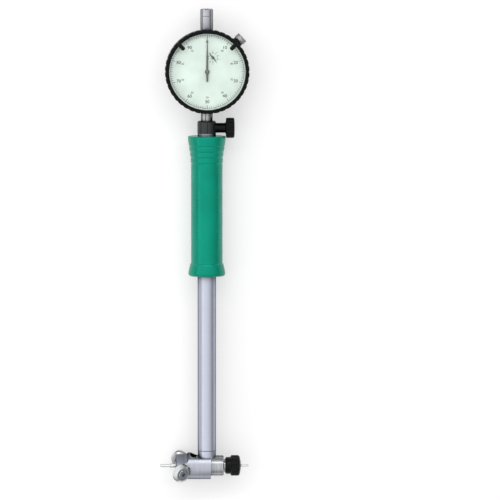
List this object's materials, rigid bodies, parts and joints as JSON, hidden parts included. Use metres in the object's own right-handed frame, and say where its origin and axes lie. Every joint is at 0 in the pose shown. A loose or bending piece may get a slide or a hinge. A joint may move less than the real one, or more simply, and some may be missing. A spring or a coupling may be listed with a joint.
{
  "type": "dial bore gauge",
  "caption": "Dial bore gauge with a round indicator, a long tube with a moulded grip, and a measuring head with a centring bridge.",
  "frame": {"origin": "centre of the dial's flat back cover, on the surface that the gauge lies on", "axes": "+Y along the tube from the measuring head to the dial and its dust cap, +X along the measuring axis from the moving contact to the anvil, +Z out of the dial's face"},
  "size_m": [0.0607, 0.3232, 0.0307],
  "materials": {
    "black_paint": "satin",
    "cover_steel": "satin",
    "screw_steel": "polished",
    "polished_steel": "polished",
    "satin_steel": "satin",
    "ground_steel": "satin",
    "brass": "satin",
    "dial_face": "matt",
    "pointer_paint": "satin",
    "clear_crystal": "clear",
    "marker_paint": "satin",
    "dark_oxide": "satin",
    "black_knob": "satin",
    "green_plastic": "satin",
    "spring_steel": "satin",
    "black_oxide": "satin",
    "bush_brass": "satin",
    "wheel_steel": "satin"
  },
  "bodies": {
    "holder": {"dial_case": "black_paint", "back_cover": "cover_steel", "back_cover_screws": "screw_steel", "stem": "polished_steel", "spindle_bush": "polished_steel", "top_cap": "satin_steel", "movement_plate": "brass", "dial_plate": "dial_face", "clamp_collar": "dark_oxide", "tube": "satin_steel", "grip": "green_plastic", "rod_bush_lower": "bush_brass", "rod_bush_upper": "bush_brass", "head_collar": "satin_steel", "head_body": "satin_steel", "crank_pin": "ground_steel", "guide_screw": "ground_steel", "anvil": "polished_steel", "anvil_washer": "ground_steel", "bridge_spring": "spring_steel"},
    "pointer_arbor": {"centre_pinion": "brass", "main_pointer": "pointer_paint"},
    "rack_arbor": {"rack_pinion": "brass"},
    "counter_arbor": {"counter_wheel": "brass", "counter_pointer": "pointer_paint"},
    "rack_spindle": {"spindle": "ground_steel"},
    "lifting_rod": {"push_rod": "ground_steel"},
    "crank": {"bell_crank": "ground_steel"},
    "contact": {"contact_plunger": "polished_steel", "contact_pin": "polished_steel"},
    "centring_bridge": {"bridge": "satin_steel", "axle_screw_front": "screw_steel", "axle_screw_rear": "screw_steel"},
    "front_wheel": {"wheel_front": "wheel_steel"},
    "rear_wheel": {"wheel_rear": "wheel_steel"},
    "turning_bezel": {"bezel": "black_paint", "crystal": "clear_crystal", "scale_ring": "dial_face"},
    "left_marker": {"limit_marker_left": "marker_paint"},
    "right_marker": {"limit_marker_right": "marker_paint"},
    "bezel_screw": {"bezel_clamp_screw": "satin_steel"},
    "collar_screw": {"clamp_screw": "black_knob"},
    "anvil_nut": {"lock_nut": "black_oxide"}
  },
  "joints": [
    {"name": "pointer_turn", "type": "hinge", "parent": "holder", "child": "pointer_arbor", "pos_m": [0, 0, 0.0236], "axis": [0, 0, 1], "range_deg": [-576, 0]},
    {"name": "rack_arbor_turn", "type": "hinge", "parent": "holder", "child": "rack_arbor", "pos_m": [-0.00379, -0.00959, 0.0156], "axis": [0, 0, 1], "range_deg": [0, 57.7]},
    {"name": "counter_turn", "type": "hinge", "parent": "holder", "child": "counter_arbor", "pos_m": [0.0039, 0.00955, 0.0156], "axis": [0, 0, 1], "range_deg": [0, 57.7]},
    {"name": "spindle_lift", "type": "slide", "parent": "holder", "child": "rack_spindle", "axis": [0, 1, 0], "range_m": [0, 0.0016]},
    {"name": "rod_lift", "type": "slide", "parent": "holder", "child": "lifting_rod", "axis": [0, 1, 0], "range_m": [0, 0.0016]},
    {"name": "crank_turn", "type": "hinge", "parent": "holder", "child": "crank", "pos_m": [-0.0022, -0.2679, 0.0156], "axis": [0, 0, 1], "range_deg": [0, 41.7]},
    {"name": "contact_slide", "type": "slide", "parent": "holder", "child": "contact", "axis": [1, 0, 0], "range_m": [0, 0.0016], "stiffness_N_per_m": 500, "springref_m": -0.003},
    {"name": "bridge_slide", "type": "slide", "parent": "holder", "child": "centring_bridge", "axis": [1, 0, 0], "range_m": [0, 0.0025], "stiffness_N_per_m": 400, "springref_m": -0.004, "deforming": ["bridge_spring"]},
    {"name": "front_wheel_spin", "type": "hinge", "parent": "centring_bridge", "child": "front_wheel", "pos_m": [-0.0179, -0.27453, 0.02602], "axis": [0.5, -0.2891, 0.8164], "continuous": true},
    {"name": "rear_wheel_spin", "type": "hinge", "parent": "centring_bridge", "child": "rear_wheel", "pos_m": [-0.0179, -0.26699, 0.00471], "axis": [0.5, 0.2891, -0.8164], "continuous": true},
    {"name": "bezel_turn", "type": "hinge", "parent": "holder", "child": "turning_bezel", "pos_m": [0, 0, 0.0236], "axis": [0, 0, 1], "continuous": true},
    {"name": "left_marker_slide", "type": "hinge", "parent": "turning_bezel", "child": "left_marker", "pos_m": [0, 0, 0.0276], "axis": [0, 0, 1], "range_deg": [-40, 60]},
    {"name": "right_marker_slide", "type": "hinge", "parent": "turning_bezel", "child": "right_marker", "pos_m": [0, 0, 0.0276], "axis": [0, 0, 1], "range_deg": [-60, 40]},
    {"name": "bezel_screw_turn", "type": "hinge", "parent": "holder", "child": "bezel_screw", "pos_m": [0.02187, 0.02054, 0.014], "axis": [0.729, 0.6845, 0], "range_deg": [0, 180]},
    {"name": "collar_screw_turn", "type": "hinge", "parent": "holder", "child": "collar_screw", "pos_m": [0.012, -0.0388, 0.0156], "axis": [1, 0, 0], "range_deg": [0, 180]},
    {"name": "lock_nut_turn", "type": "hinge", "parent": "holder", "child": "anvil_nut", "pos_m": [0.016, -0.2701, 0.0156], "axis": [1, 0, 0], "range_deg": [0, 180]}
  ],
  "couplings": [
    {"joint": "rod_lift", "follows": "spindle_lift", "ratio": 1},
    {"joint": "contact_slide", "follows": "spindle_lift", "ratio": 1},
    {"joint": "pointer_turn", "follows": "spindle_lift", "rad_per_m": -6283.2},
    {"joint": "rack_arbor_turn", "follows": "spindle_lift", "rad_per_m": 628.32},
    {"joint": "counter_turn", "follows": "spindle_lift", "rad_per_m": 628.32},
    {"joint": "crank_turn", "follows": "spindle_lift", "rad_per_m": 454.54}
  ]
}
